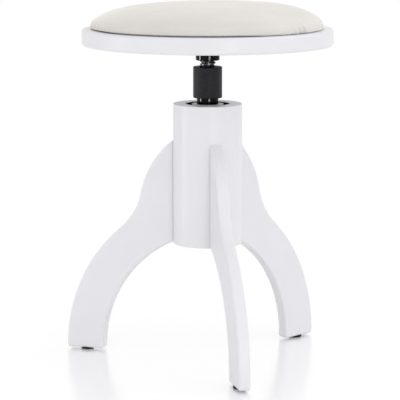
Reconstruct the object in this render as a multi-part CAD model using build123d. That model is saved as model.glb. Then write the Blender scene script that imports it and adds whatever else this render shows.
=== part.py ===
from build123d import *
import math
import os

os.makedirs("parts", exist_ok=True)

# Clearances
FIT = 0.05  # radial, between fixed round pieces
RUN = 0.05  # radial, between pieces that turn or slide
SOFT_GAP = 0.3  # between the foam and what covers it
END_PLAY = 0.3  # axial play of the guide bush on the spindle
STOP_GAP = 1.0  # left between bush and nut at full height

# Screw mechanism
SPINDLE_D = 22.0
SPINDLE_PLAY = 1.6  # radial space between spindle and tube
NECK_D = 14.0
TUBE_WALL = 2.5
TUBE_SHOWN = 8.05  # bare tube between column and sleeve
SLEEVE_WALL = 5.05
SLEEVE_H = 43.25
SLEEVE_LIP = 3.0
SLEEVE_CHAMFER = 0.8
MOUTH_PLAY = 1.0  # radial space round the spindle in the sleeve's mouth
NUT_H = 22.0
THREAD_SHOWN = 8.8  # bare thread between sleeve and hub at rest
RISE_UP = 95.0
BUSH_H = 20.0
WASHER_T = 2.5
WASHER_PLAY = 1.5  # radial space between washer and tube
STOP_SCREW_D = 6.0
STOP_HEAD_D = 10.0
STOP_HEAD_H = 5.0
STOP_SCREW_L = 18.0

# Hub and flange under the seat
HUB_WALL = 5.65
HUB_H = 21.35  # from the hub's lower end to the seat
HUB_CHAMFER = 1.0
PLATE_T = 4.0
PLATE_MARGIN = 48.35  # plate edge beyond the hub
PLATE_SCREWS = 6
PLATE_SCREW_EDGE = 13.0
PIN_D = 5.0
PIN_SUNK = 0.4

# Wood screws
SCREW_D = 4.0
SCREW_HEAD_D = 8.0
SCREW_HEAD_H = 2.6
SCREW_HEAD_CHAMFER = 1.2
SCREW_BITE = 14.0  # length in the wood
SCREW_TIP = 1.5

# Seat
SEAT_D = 348.0
SEAT_T = 22.55
SEAT_TOP_ROUND = 3.0
SEAT_UNDER_ROUND = 4.0
SEAT_RIM = 12.0  # rim left bare round the cushion

# Cushion
CUSHION_H = 36.3
CUSHION_GIRTH_H = 5.0  # height of the widest line above the seat
CUSHION_TUCK = 3.0  # how far the cover draws in below it
EDGE_LIFT = 1.3  # shadow gap between the cover's edge and the seat
EDGE_LIFT_IN = 8.0  # how far the gap runs in
CROWN_POWER = 2.25  # squareness of the domed outline
CROWN_STEPS = 9
COVER_T = 3.0
COVER_LIP = 24.0  # turned under the board
BOARD_T = 8.0
BOARD_INSET = 4.0  # board edge inside the cover's lower edge
CUSHION_SCREWS = 3
CUSHION_SCREW_EDGE = 24.0
CUSHION_SCREW_BITE = 5.0
CUSHION_HEAD_SUNK = 0.6

# Column
COLLAR_WALL = 7.15
COLLAR_H = 26.0
COLLAR_SUNK = 0.8
RING_WALL = 8.15
RING_H = 16.0
RING_SUNK = 1.0
COLUMN_WALL = 17.5
COLUMN_H = 196.75
COLUMN_EDGE_ROUND = 0.9
BORE_EDGE_ROUND = 0.8
BASE_RECESS = 8.0  # cut into the column's underside for plate and screw heads
BASE_PLATE_T = 4.0
BASE_PLATE_INSET = 6.0
BASE_SCREWS = 6
BASE_SCREW_EDGE = 6.0
SCREW_START_ANGLE = 30.0  # of the first screw on a circle, from +X

# Legs
LEG_T = 16.35
LEG_W = 55.75  # between the two concentric arcs
LEG_IN_R = 172.0
LEG_ARC_INSET = 67.5  # arc centre inside the column's surface
LEG_ROOT_H = 145.0  # height of the root on the column
SHOULDER_R = 133.0
SHOULDER_ANGLE = 52.3  # of the shoulder's normal at the column, from level
THROAT_R = 91.5
LEG_ROUND = 3.0
FOOT_ROUND = 4.5
FOOT_DROP = 3.9  # sole below the arcs' centre
GROOVE_W = 1.5
GROOVE_DEPTH = 1.2
LEG_BOLT_D = 6.0
LEG_BOLT_HEAD_D = 10.0
LEG_BOLT_HEAD_H = 6.0
LEG_BOLT_LOW = 30.0  # above the column's underside
LEG_BOLT_PITCH = 80.0
BOLT_SPOT = 0.6  # spot face cut into the bore
BOLT_PLAY = 0.3
INSERT_WALL = 1.75
INSERT_L = 18.0
INSERT_SUNK = 1.0
FRONT_LEG_ANGLE = -90.0  # from +X
LEG_SIDES = ("front", "left", "right")  # clockwise from above

# Glides
GLIDE_D = 18.0
GLIDE_H = 2.6
GLIDE_CHAMFER = 0.8
NAIL_D = 2.5
NAIL_L = 14.0
NAIL_HEAD_D = 6.0
NAIL_HEAD_T = 1.0
NAIL_SUNK = 0.8

# Diameters, from the spindle outwards
TUBE_ID = SPINDLE_D + 2 * SPINDLE_PLAY
TUBE_OD = TUBE_ID + 2 * TUBE_WALL
SLEEVE_ID = TUBE_OD + 2 * FIT
SLEEVE_OD = SLEEVE_ID + 2 * SLEEVE_WALL
HUB_D = SPINDLE_D + 2 * HUB_WALL
PLATE_D = HUB_D + 2 * PLATE_MARGIN
COLLAR_OD = TUBE_OD + 2 * COLLAR_WALL
BORE_R = COLLAR_OD / 2 + RING_WALL + 2 * FIT
COLUMN_R = BORE_R + COLUMN_WALL
BASE_PLATE_R = COLUMN_R - BASE_PLATE_INSET

# Heights, from the floor upwards
ARC_R0 = COLUMN_R - LEG_ARC_INSET
ARC_Z0 = GLIDE_H + FOOT_DROP
LEG_OUT_R = LEG_IN_R + LEG_W
FOOT_IN = ARC_R0 + math.sqrt(LEG_IN_R**2 - FOOT_DROP**2)
FOOT_OUT = ARC_R0 + math.sqrt(LEG_OUT_R**2 - FOOT_DROP**2)
GLIDE_AT = (FOOT_IN + FOOT_OUT) / 2
COLUMN_Z0 = ARC_Z0 + math.sqrt(LEG_IN_R**2 - LEG_ARC_INSET**2)
COLUMN_Z1 = COLUMN_Z0 + COLUMN_H
BASE_Z = COLUMN_Z0 + BASE_RECESS
SLEEVE_Z0 = COLUMN_Z1 + TUBE_SHOWN
SLEEVE_Z1 = SLEEVE_Z0 + SLEEVE_H
NUT_Z1 = SLEEVE_Z1 - SLEEVE_LIP
NUT_Z0 = NUT_Z1 - NUT_H
HUB_Z0 = SLEEVE_Z1 + THREAD_SHOWN
SEAT_Z0 = HUB_Z0 + HUB_H
SEAT_Z1 = SEAT_Z0 + SEAT_T
PLATE_Z0 = SEAT_Z0 - PLATE_T
PIN_Z = (HUB_Z0 + PLATE_Z0) / 2
BUSH_Z1 = NUT_Z0 - RISE_UP - STOP_GAP
BUSH_Z0 = BUSH_Z1 - BUSH_H
NECK_Z1 = BUSH_Z1 + END_PLAY
NECK_Z0 = BUSH_Z0 - END_PLAY
LEG_ANGLES = {side: FRONT_LEG_ANGLE - 360.0 * i / len(LEG_SIDES) for i, side in enumerate(LEG_SIDES)}
LEG_BOLT_HEIGHTS = [COLUMN_Z0 + LEG_BOLT_LOW, COLUMN_Z0 + LEG_BOLT_LOW + LEG_BOLT_PITCH]

# Cushion radii
CUSHION_R = SEAT_D / 2 - SEAT_RIM
COVER_EDGE_R = CUSHION_R - CUSHION_TUCK
BOARD_R = COVER_EDGE_R - BOARD_INSET
BOARD_PAD_R = COVER_EDGE_R - COVER_LIP
CUSHION_SCREW_R = BOARD_PAD_R - CUSHION_SCREW_EDGE
PLATE_SCREW_R = PLATE_D / 2 - PLATE_SCREW_EDGE
BASE_SCREW_R = BASE_PLATE_R - BASE_SCREW_EDGE

UP = (Align.CENTER, Align.CENTER, Align.MIN)


def rod(diameter, z0, z1):
    return Pos(0, 0, z0) * Cylinder(diameter / 2, z1 - z0, align=UP)


def tube(outer, inner, z0, z1):
    return rod(outer, z0, z1) - rod(inner, z0, z1)


def spoke(diameter, r0, r1, z):
    return Pos(r0, 0, z) * Rot(0, 90, 0) * Cylinder(diameter / 2, r1 - r0, align=UP)


def around(count, radius, start=0.0):
    for i in range(count):
        yield Rot(0, 0, start + 360.0 * i / count) * Pos(radius, 0, 0)


def wood_screw(seat_z, tip_z):
    head = rod(SCREW_HEAD_D, seat_z - SCREW_HEAD_H, seat_z)
    head = chamfer(head.edges().sort_by(Axis.Z)[0], SCREW_HEAD_CHAMFER)
    shank = rod(SCREW_D, seat_z, tip_z)
    shank = chamfer(shank.edges().sort_by(Axis.Z)[-1], SCREW_TIP)
    return head + shank


def on_circle(centre, radius, angle):
    return (centre[0] + radius * math.cos(angle), centre[1] + radius * math.sin(angle))


def arc_between(centre, radius, start, end):
    a0 = math.atan2(start[1] - centre[1], start[0] - centre[0])
    a1 = math.atan2(end[1] - centre[1], end[0] - centre[0])
    turn = (a1 - a0 + math.pi) % (2 * math.pi) - math.pi
    return ThreePointArc(start, on_circle(centre, radius, a0 + turn / 2), end)


def throat_centre(low, low_r, high, high_r):
    """Centre of the hollow arc that touches both outer arcs from outside."""
    span = math.dist(low, high)
    a = low_r + THROAT_R
    b = high_r + THROAT_R
    along = (a * a - b * b + span * span) / (2 * span)
    across = math.sqrt(a * a - along * along)
    ux = (high[0] - low[0]) / span
    uy = (high[1] - low[1]) / span
    return (low[0] + along * ux + across * uy, low[1] + along * uy - across * ux)


def toward(start, end, distance):
    k = distance / math.dist(start, end)
    return (start[0] + k * (end[0] - start[0]), start[1] + k * (end[1] - start[1]))


def leg_outline():
    """Side view of a leg: two concentric arcs, a hollow throat and a round shoulder."""
    low = (ARC_R0, ARC_Z0)
    angle = math.radians(SHOULDER_ANGLE)
    top_z = COLUMN_Z0 + LEG_ROOT_H
    high = (COLUMN_R - SHOULDER_R * math.cos(angle), top_z - SHOULDER_R * math.sin(angle))
    throat = throat_centre(low, LEG_OUT_R, high, SHOULDER_R)
    low_join = toward(low, throat, LEG_OUT_R)
    high_join = toward(high, throat, SHOULDER_R)
    end_r = BORE_R + COLUMN_WALL / 2
    end_low = (end_r, ARC_Z0 + math.sqrt(LEG_IN_R**2 - (end_r - ARC_R0) ** 2))
    end_high = (end_r, high[1] + math.sqrt(SHOULDER_R**2 - (end_r - high[0]) ** 2))
    edges = [
        arc_between(low, LEG_IN_R, (FOOT_IN, GLIDE_H), end_low),
        Line(end_low, end_high),
        arc_between(high, SHOULDER_R, end_high, high_join),
        arc_between(throat, THROAT_R, high_join, low_join),
        arc_between(low, LEG_OUT_R, low_join, (FOOT_OUT, GLIDE_H)),
        Line((FOOT_OUT, GLIDE_H), (FOOT_IN, GLIDE_H)),
    ]
    return make_face(edges)


def leg():
    """A leg along +X, cut to the column's round with a shadow groove at its root."""
    board = extrude(Plane.XZ * leg_outline(), amount=LEG_T / 2, both=True)
    soles = board.edges().filter_by(Axis.Y).group_by(Axis.Z)[0]
    board = fillet(soles, FOOT_ROUND)
    root = BORE_R + COLUMN_WALL / 2
    rims = [
        e for e in board.edges()
        if abs(abs(e.center().Y) - LEG_T / 2) < 1e-6 and e.center().X > root + 1e-3
    ]
    board = fillet(rims, LEG_ROUND)
    board -= rod(2 * COLUMN_R, 0, COLUMN_Z1)
    groove = rod(2 * (COLUMN_R + GROOVE_W), 0, COLUMN_Z1)
    groove -= Box(4 * COLUMN_R, LEG_T - 2 * GROOVE_DEPTH, 4 * COLUMN_Z1)
    board -= groove
    hole_d = LEG_BOLT_D + 2 * (FIT + INSERT_WALL + FIT)
    for z in LEG_BOLT_HEIGHTS:
        board -= spoke(hole_d, 0, COLUMN_R + INSERT_SUNK + INSERT_L, z)
    board -= Pos(GLIDE_AT, 0, 0) * rod(NAIL_D + 2 * FIT, 0, NAIL_SUNK + NAIL_HEAD_T + NAIL_L)
    return board


def leg_bolts():
    solids = []
    seat_r = BORE_R + BOLT_SPOT
    tip_r = COLUMN_R + INSERT_SUNK + INSERT_L
    bolt = spoke(LEG_BOLT_HEAD_D, seat_r - LEG_BOLT_HEAD_H, seat_r, 0)
    bolt += spoke(LEG_BOLT_D, seat_r, tip_r, 0)
    for turn in LEG_ANGLES.values():
        for z in LEG_BOLT_HEIGHTS:
            solids.append(Rot(0, 0, turn) * Pos(0, 0, z) * bolt)
    return Compound(children=solids)


def leg_inserts():
    solids = []
    inner = LEG_BOLT_D + 2 * FIT
    r0 = COLUMN_R + INSERT_SUNK
    insert = spoke(inner + 2 * INSERT_WALL, r0, r0 + INSERT_L, 0) - spoke(inner, r0, r0 + INSERT_L, 0)
    for turn in LEG_ANGLES.values():
        for z in LEG_BOLT_HEIGHTS:
            solids.append(Rot(0, 0, turn) * Pos(0, 0, z) * insert)
    return Compound(children=solids)


def column():
    body = tube(2 * COLUMN_R, 2 * BORE_R, COLUMN_Z0, COLUMN_Z1)
    rims = body.edges().filter_by(GeomType.CIRCLE)
    body = fillet([e for e in rims if e.radius > BORE_R + COLUMN_WALL / 2], COLUMN_EDGE_ROUND)
    rims = body.edges().filter_by(GeomType.CIRCLE)
    body = fillet([e for e in rims if abs(e.radius - BORE_R) < 1e-6], BORE_EDGE_ROUND)
    for turn in LEG_ANGLES.values():
        for z in LEG_BOLT_HEIGHTS:
            body -= Rot(0, 0, turn) * spoke(LEG_BOLT_D + 2 * BOLT_PLAY, 0, 2 * COLUMN_R, z)
            spot_d = LEG_BOLT_HEAD_D + 2 * BOLT_PLAY
            body -= Rot(0, 0, turn) * spoke(spot_d, 0, BORE_R + BOLT_SPOT, z)
    body -= rod(2 * (BASE_PLATE_R + FIT), COLUMN_Z0, BASE_Z)
    pilot = rod(SCREW_D + 2 * FIT, BASE_Z, BASE_Z + SCREW_BITE)
    for place in around(BASE_SCREWS, BASE_SCREW_R, SCREW_START_ANGLE):
        body -= place * pilot
    return body


def base_plate():
    plate = rod(2 * BASE_PLATE_R, BASE_Z - BASE_PLATE_T, BASE_Z)
    hole = rod(SCREW_D + 2 * FIT, BASE_Z - BASE_PLATE_T, BASE_Z)
    for place in around(BASE_SCREWS, BASE_SCREW_R, SCREW_START_ANGLE):
        plate -= place * hole
    return plate


def base_screws():
    screw = wood_screw(BASE_Z - BASE_PLATE_T, BASE_Z + SCREW_BITE)
    return Compound(children=[place * screw for place in around(BASE_SCREWS, BASE_SCREW_R, SCREW_START_ANGLE)])


def guide_tube():
    return tube(TUBE_OD, TUBE_ID, BASE_Z, NUT_Z0)


def tube_collar():
    top = COLUMN_Z1 - COLLAR_SUNK
    return tube(COLLAR_OD, TUBE_OD + 2 * FIT, top - COLLAR_H, top)


def bore_ring():
    top = COLUMN_Z1 - RING_SUNK
    return tube(2 * (BORE_R - FIT), COLLAR_OD + 2 * FIT, top - RING_H, top)


def spindle_nut():
    return tube(TUBE_OD, SPINDLE_D + 2 * RUN, NUT_Z0, NUT_Z1)


def nut_sleeve():
    sleeve = tube(SLEEVE_OD, SLEEVE_ID, SLEEVE_Z0, NUT_Z1)
    sleeve += tube(SLEEVE_OD, SPINDLE_D + 2 * MOUTH_PLAY, NUT_Z1, SLEEVE_Z1)
    rims = sleeve.edges().filter_by(GeomType.CIRCLE)
    outer = [e for e in rims if abs(e.radius - SLEEVE_OD / 2) < 1e-6]
    ends = [e for e in outer if min(abs(e.center().Z - SLEEVE_Z0), abs(e.center().Z - SLEEVE_Z1)) < 1e-6]
    return chamfer(ends, SLEEVE_CHAMFER)


def spindle():
    body = rod(SPINDLE_D, NECK_Z1, SEAT_Z0) + rod(NECK_D, NECK_Z0, NECK_Z1)
    body -= rod(STOP_SCREW_D + 2 * FIT, NECK_Z0, NECK_Z0 + STOP_SCREW_L)
    return body - spoke(PIN_D + 2 * FIT, -HUB_D, HUB_D, PIN_Z)


def guide_bush():
    return tube(TUBE_ID - 2 * RUN, NECK_D + 2 * RUN, BUSH_Z0, BUSH_Z1)


def stop_washer():
    return tube(TUBE_ID - 2 * WASHER_PLAY, STOP_SCREW_D + 2 * FIT, NECK_Z0 - WASHER_T, NECK_Z0)


def stop_screw():
    seat_z = NECK_Z0 - WASHER_T
    head = rod(STOP_HEAD_D, seat_z - STOP_HEAD_H, seat_z)
    return head + rod(STOP_SCREW_D, seat_z, NECK_Z0 + STOP_SCREW_L)


def seat_flange():
    body = rod(HUB_D, HUB_Z0, PLATE_Z0)
    body = chamfer(body.edges().sort_by(Axis.Z)[0], HUB_CHAMFER)
    body += rod(PLATE_D, PLATE_Z0, SEAT_Z0)
    body -= rod(SPINDLE_D + 2 * FIT, HUB_Z0, SEAT_Z0)
    body -= spoke(PIN_D + 2 * FIT, -HUB_D, HUB_D, PIN_Z)
    hole = rod(SCREW_D + 2 * FIT, PLATE_Z0, SEAT_Z0)
    for place in around(PLATE_SCREWS, PLATE_SCREW_R):
        body -= place * hole
    return body


def spindle_pin():
    half = HUB_D / 2 - PIN_SUNK
    return spoke(PIN_D, -half, half, PIN_Z)


def flange_screws():
    screw = wood_screw(PLATE_Z0, SEAT_Z0 + SCREW_BITE)
    return Compound(children=[place * screw for place in around(PLATE_SCREWS, PLATE_SCREW_R)])


def seat_disc():
    body = rod(SEAT_D, SEAT_Z0, SEAT_Z1)
    body = fillet(body.edges().sort_by(Axis.Z)[-1], SEAT_TOP_ROUND)
    body = fillet(body.edges().sort_by(Axis.Z)[0], SEAT_UNDER_ROUND)
    pilot = rod(SCREW_D + 2 * FIT, SEAT_Z0, SEAT_Z0 + SCREW_BITE)
    for place in around(PLATE_SCREWS, PLATE_SCREW_R):
        body -= place * pilot
    through = rod(SCREW_D + 2 * FIT, SEAT_Z0, SEAT_Z1)
    through += rod(SCREW_HEAD_D + 2 * BOLT_PLAY, SEAT_Z0, SEAT_Z0 + SCREW_HEAD_H + CUSHION_HEAD_SUNK)
    for place in around(CUSHION_SCREWS, CUSHION_SCREW_R, SCREW_START_ANGLE):
        body -= place * through
    return body


def cushion_screws():
    screw = wood_screw(SEAT_Z0 + SCREW_HEAD_H + CUSHION_HEAD_SUNK, SEAT_Z1 + CUSHION_SCREW_BITE)
    places = around(CUSHION_SCREWS, CUSHION_SCREW_R, SCREW_START_ANGLE)
    return Compound(children=[place * screw for place in places])


def cushion_form(inset, floor):
    """Domed cushion: squared crown, drawn in below its widest line, edge lifted off the seat."""
    wide = CUSHION_R - inset
    high = CUSHION_H - inset - CUSHION_GIRTH_H
    girth_z = SEAT_Z1 + CUSHION_GIRTH_H
    low_z = SEAT_Z1 + floor
    edge_z = SEAT_Z1 + max(floor, EDGE_LIFT)
    edge_r = wide - CUSHION_TUCK * ((girth_z - edge_z) / CUSHION_GIRTH_H) ** 2
    crown = []
    for i in range(CROWN_STEPS):
        a = math.pi / 2 * i / (CROWN_STEPS - 1)
        r = wide * math.sin(a) ** (2 / CROWN_POWER)
        crown.append((r, girth_z + high * max(math.cos(a), 0.0) ** (2 / CROWN_POWER)))
    dome = Spline(*crown, tangents=[(1, 0), (0, -1)])
    edge_mid = ((3 * wide + edge_r) / 4, (girth_z + edge_z) / 2)
    edge = ThreePointArc((wide, girth_z), edge_mid, (edge_r, edge_z))
    under = Polyline((edge_r, edge_z), (edge_r - EDGE_LIFT_IN, low_z), (0, low_z))
    axis = Line((0, low_z), (0, SEAT_Z1 + CUSHION_H - inset))
    return revolve(Plane.XZ * make_face([dome, edge, *under.edges(), axis]), axis=Axis.Z)


def seat_cover():
    body = cushion_form(0.0, 0.0) - cushion_form(COVER_T, COVER_T)
    return body - rod(2 * (BOARD_PAD_R + SOFT_GAP), SEAT_Z1, SEAT_Z1 + COVER_T)


def foam_pad():
    body = cushion_form(COVER_T + SOFT_GAP, COVER_T + SOFT_GAP)
    return body - rod(2 * (BOARD_R + SOFT_GAP), SEAT_Z1, SEAT_Z1 + BOARD_T)


def cushion_board():
    body = rod(2 * BOARD_R, SEAT_Z1 + COVER_T, SEAT_Z1 + BOARD_T)
    body += rod(2 * BOARD_PAD_R, SEAT_Z1, SEAT_Z1 + COVER_T)
    pilot = rod(SCREW_D + 2 * FIT, SEAT_Z1, SEAT_Z1 + CUSHION_SCREW_BITE)
    for place in around(CUSHION_SCREWS, CUSHION_SCREW_R, SCREW_START_ANGLE):
        body -= place * pilot
    return body


def glide():
    body = Pos(GLIDE_AT, 0, 0) * rod(GLIDE_D, 0, GLIDE_H)
    body = chamfer(body.edges().sort_by(Axis.Z)[0], GLIDE_CHAMFER)
    body -= Pos(GLIDE_AT, 0, 0) * rod(NAIL_HEAD_D + 2 * FIT, 0, NAIL_SUNK + NAIL_HEAD_T)
    return body - Pos(GLIDE_AT, 0, 0) * rod(NAIL_D + 2 * FIT, 0, GLIDE_H)


def glide_nails():
    nail = rod(NAIL_HEAD_D, NAIL_SUNK, NAIL_SUNK + NAIL_HEAD_T)
    nail += rod(NAIL_D, NAIL_SUNK + NAIL_HEAD_T, NAIL_SUNK + NAIL_HEAD_T + NAIL_L)
    solids = [Rot(0, 0, turn) * Pos(GLIDE_AT, 0, 0) * nail for turn in LEG_ANGLES.values()]
    return Compound(children=solids)


nodes = {
    "seat_cover": seat_cover(),
    "foam_pad": foam_pad(),
    "cushion_board": cushion_board(),
    "cushion_screws": cushion_screws(),
    "seat_disc": seat_disc(),
    "seat_flange": seat_flange(),
    "flange_screws": flange_screws(),
    "spindle": spindle(),
    "spindle_pin": spindle_pin(),
    "stop_washer": stop_washer(),
    "stop_screw": stop_screw(),
    "guide_bush": guide_bush(),
    "spindle_nut": spindle_nut(),
    "nut_sleeve": nut_sleeve(),
    "guide_tube": guide_tube(),
    "tube_collar": tube_collar(),
    "bore_ring": bore_ring(),
    "column": column(),
    "base_plate": base_plate(),
    "base_screws": base_screws(),
    "leg_bolts": leg_bolts(),
    "leg_inserts": leg_inserts(),
    "glide_nails": glide_nails(),
}
for side, turn in LEG_ANGLES.items():
    nodes["leg_" + side] = Rot(0, 0, turn) * leg()
    nodes["glide_" + side] = Rot(0, 0, turn) * glide()

for name, shape in nodes.items():
    export_step(shape, "parts/" + name + ".step")
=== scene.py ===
import math

import bmesh
import bpy
import numpy as np
from mathutils import Matrix, Vector, noise


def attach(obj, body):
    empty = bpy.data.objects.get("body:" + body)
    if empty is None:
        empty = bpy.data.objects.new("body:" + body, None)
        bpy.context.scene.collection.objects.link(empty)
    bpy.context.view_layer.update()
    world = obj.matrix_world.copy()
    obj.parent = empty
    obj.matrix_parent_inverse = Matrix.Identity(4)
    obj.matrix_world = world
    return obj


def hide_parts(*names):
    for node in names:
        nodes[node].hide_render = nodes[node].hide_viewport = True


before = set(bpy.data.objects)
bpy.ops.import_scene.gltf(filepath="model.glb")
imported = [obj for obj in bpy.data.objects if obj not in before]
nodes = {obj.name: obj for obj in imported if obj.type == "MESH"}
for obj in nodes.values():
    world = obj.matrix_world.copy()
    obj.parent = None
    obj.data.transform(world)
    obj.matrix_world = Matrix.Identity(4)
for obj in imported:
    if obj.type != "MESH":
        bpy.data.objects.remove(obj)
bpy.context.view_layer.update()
MM = 0.001

# Sizes shared with the solids, in millimetres
SEAT_TOP = 465.45
SEAT_UNDER = 442.9
CUSHION_R = 162.0
CUSHION_H = 36.3
GIRTH_H = 5.0  # height of the cushion's widest line
TUCK = 1.5  # how far its lower edge is drawn in
CROWN_POWER = 2.25
BOARD_PAD_R = 135.0
SPINDLE_D = 22.0
SPINDLE_ROOT_D = 17.6
THREAD_PITCH = 5.0
NECK_D = 14.0
NECK_Z0 = 271.45
NECK_Z1 = 292.05
STOP_BORE_D = 6.1
STOP_BORE_L = 18.0
PIN_HOLE_D = 5.1
PIN_Z = 430.23
THREAD_TOP = 423.75
SCREW_HEAD_D = 8.0
SCREW_HEAD_H = 2.6
SCREW_D = 4.0
SCREW_CORE_D = 2.9
SCREW_PITCH = 1.8
SCREW_BITE = 14.0

# Spindle: where its thread starts above the neck and the length that the thread runs out in,
# its chamfers and the drill for the cross pin, in mm, then the sides of what is turned
THREAD_START = 3.0
THREAD_RUNOUT = 2.5
NECK_CHAMFER = 0.8
TOP_CHAMFER = 0.6
DRILL_HALF = 20.0
THREAD_SIDES = 64
DRILL_SIDES = 24
RUBBED_FROM_R = 10.2  # radius from which the thread's crests are rubbed bright
RUBBED_FULL_R = 10.9

# Wood screws: the head's outline as inset from its edge and height, the point as radius and length
# back from the tip, and the cross recess as length, width and height, outside and at its bottom
SCREW_HEAD = ((0.25, 0.0), (0.0, -0.25), (0.0, -0.9), (0.45, -1.6), (1.3, -2.2), (2.4, -2.5))
SCREW_POINT = ((SCREW_CORE_D / 2, 2.2), (0.35, 0.3), (0.0, 0.0))
CROSS_OUTSIDE = (4.6, 1.0, -3.2)
CROSS_BOTTOM = (2.4, 0.7, -0.9)
SCREW_SHANK = 0.6  # plain length under the head
SCREW_TIP = 3.0  # plain length at the point
SCREW_RUNOUT = 0.8
SCREW_SIDES = 24
DRIVEN_STEP = 37  # degrees that one screw's recess is turned from the next
DRIVEN_STRAY = 11

# Rings of screws: piece, the node it stands for, its body, count, radius of the ring and height of
# the heads' seat in mm, first angle in degrees, slot
SCREW_SETS = (
    ("flange_screw_set", "flange_screws", "seat", 6, 52.0, 438.9, 0.0, "zinc_steel"),
    ("cushion_screw_set", "cushion_screws", "seat", 3, 111.0, 446.1, 30.0, "zinc_steel"),
    ("base_screw_set", "base_screws", "base", 6, 36.0, 168.7, 30.0, "zinc_steel"),
)

# Edges sharper than these angles in degrees stay sharp
SPINDLE_CREASE = 24
SCREW_CREASE = 32
COVER_CREASE = 50

# Cushion, in mm
START_INSET = 2.6  # the pad swells in the simulation, so it starts smaller
SWELL_CAP = 6.0
VOXEL = 4.5
SIM_FRAMES = 20
SOLE_HELD = 1.5  # height up to which the sole is held to the seat
FORM_PLAY = 0.5  # how far the swollen pad may leave the intended outline
SOLE_GAP = 0.05
SOLE_RIM = 0.3  # no fold or filling moves what lies lower
LINING_INSET = 3.15  # inside of the cover, just off the foam
LINING_DRAW = 0.4
LINING_PAST = 1.0  # how far the tool that hollows the cover reaches below it
HOLE_R = BOARD_PAD_R + 0.3
CROWN_STEPS = 22
PAD_SIDES = 128
LINING_SIDES = 160
CLOTH = {
    "quality": 6, "mass": 0.3, "tension_stiffness": 20, "compression_stiffness": 20,
    "shear_stiffness": 8, "bending_stiffness": 2, "use_pressure": True,
    "uniform_pressure_force": 4, "vertex_group_mass": "sole",
}

# A slow ripple all over the cover: its length, its height, and where it starts and is full
RIPPLE_MM = 48.0
RIPPLE_H = 0.4
RIPPLE_FROM = 1.0
RIPPLE_RISE = 8.0

# Where the hand-filled pad stands fuller or slacker: turn from the camera's side and its spread in
# degrees, height above the seat and its spread in mm, then how far the cover stands out in mm
FILLING = (
    (112, 42, 30, 7, 1.9),
    (92, 32, 14, 6, -1.6),
    (-92, 36, 17, 6, -1.2),
    (90, 30, 3.5, 6, -2.3),
)

# Pulled folds at the cushion's lower edge: turn from the camera's side in degrees and height above
# the seat in mm at the top, the same at the bottom, then depth and half width in mm
FOLDS = (
    (44.4, 10.0, 46.6, 0.5, 1.0, 1.8),
    (46.8, 16.0, 50.2, 0.5, 2.2, 1.9),
    (50.6, 17.0, 53.8, 0.5, 2.2, 1.9),
    (-63.0, 14.0, -66.0, 0.5, 0.9, 2.4),
    (-70.0, 15.0, -71.0, 0.5, 0.8, 2.4),
)
FOLD_GROWTH = 1.5  # a fold is full two thirds of the way down
RIDGE_OFF = 1.9  # a ridge runs beside each fold, this many half widths off
RIDGE_SHARE = 0.6  # its height as a share of the fold's depth

# Shadow gap under the cushion's edge: how far it runs in, then its height round the seat, as turn
# from the camera's side in degrees and mm, then the tool that cuts it
GAP_IN = 9.0
GAP_TURNS = (-180, -100, -40, -5, 16, 36, 110, 145, 180)
GAP_HEIGHTS = (1.2, 1.8, 1.9, 2.3, 2.2, 0.06, 0.06, 1.2, 1.2)
GAP_PAST = 6.0
GAP_INNER_H = 0.02
GAP_BELOW = -2.0
GAP_SIDES = 240

# Camera, from the photograph's frame of 400 by 400
FRAME_PX = 400
FOCAL_PX = 1953.0
SENSOR_MM = 36.0
CAMERA_D = 2.701
CAMERA_H = 0.6684
CAMERA_AZ = math.radians(-13.78)
AIM_Z = 0.22515
AIM_LEFT = 0.0106

# Soft boxes: azimuth from the camera's side in degrees, distance and height, width and height of
# the box in metres, power in watts, and the height in metres that it is turned to
SOFT_BOXES = {
    "strip_left": (-83, 1.3, 0.23, 0.12, 0.42, 1.5, 0.23),
    "strip_right": (18, 1.3, 0.23, 0.12, 0.42, 1.05, 0.23),
    "soft_right": (80, 1.8, 2.2, 0.9, 1.2, 1.5, 0.45),
    "soft_left": (-42, 2.6, 1.2, 2.3, 2.3, 8.2, 0.35),
    "soft_top": (20, 0.5, 2.7, 1.8, 1.8, 2, 0.4),
}
# Strips that draw two bright lines on the gloss black pieces and light nothing else
LINE_STRIPS = {
    "line_left": (-79, 1.3, 0.23, 0.3, 0.42, 14, 0.23),
    "line_right": (18, 1.3, 0.23, 0.3, 0.42, 21, 0.23),
}
FILL_LEFT = 0.54  # strength of the surroundings' light, from the camera's left to its right
FILL_RIGHT = 1.22

# Floor: half its side in metres, the white that it adds of itself where it is seen, its gloss at
# a flat angle and how dull that is, and the radii in metres between which it fades to white
FLOOR_HALF = 8.0
FLOOR_SEGMENTS = 8
FLOOR_GLOW = 0.32
FLOOR_GLOSS = 0.74
FLOOR_ROUGHNESS = 0.2
FADE_FROM = 0.3
FADE_TO = 0.9

WAVE_RATE = 20 / (2 * math.pi)  # crests per unit of Blender's wave texture at scale 1
ON_AXIS = 1e-6  # a smaller radius is a point on the axis
TINY = 1e-6  # keeps divisions off zero


def linear(code):
    """An sRGB hex colour as linear RGBA."""
    parts = [int(code[i:i + 2], 16) / 255 for i in (1, 3, 5)]
    curve = [c / 12.92 if c <= 0.04045 else ((c + 0.055) / 1.055) ** 2.4 for c in parts]
    return (*curve, 1.0)


def per(size_mm):
    """Texture scale whose features are size_mm across in the object's metres."""
    return 1.0 / (size_mm * MM)


def add(tree, kind, sockets=None, **settings):
    """Adds a node, with its settings, socket values and links."""
    node = tree.nodes.new(kind)
    for name, value in settings.items():
        setattr(node, name, value)
    for key, value in (sockets or {}).items():
        if isinstance(value, bpy.types.NodeSocket):
            tree.links.new(value, node.inputs[key])
        else:
            node.inputs[key].default_value = value
    return node


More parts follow.
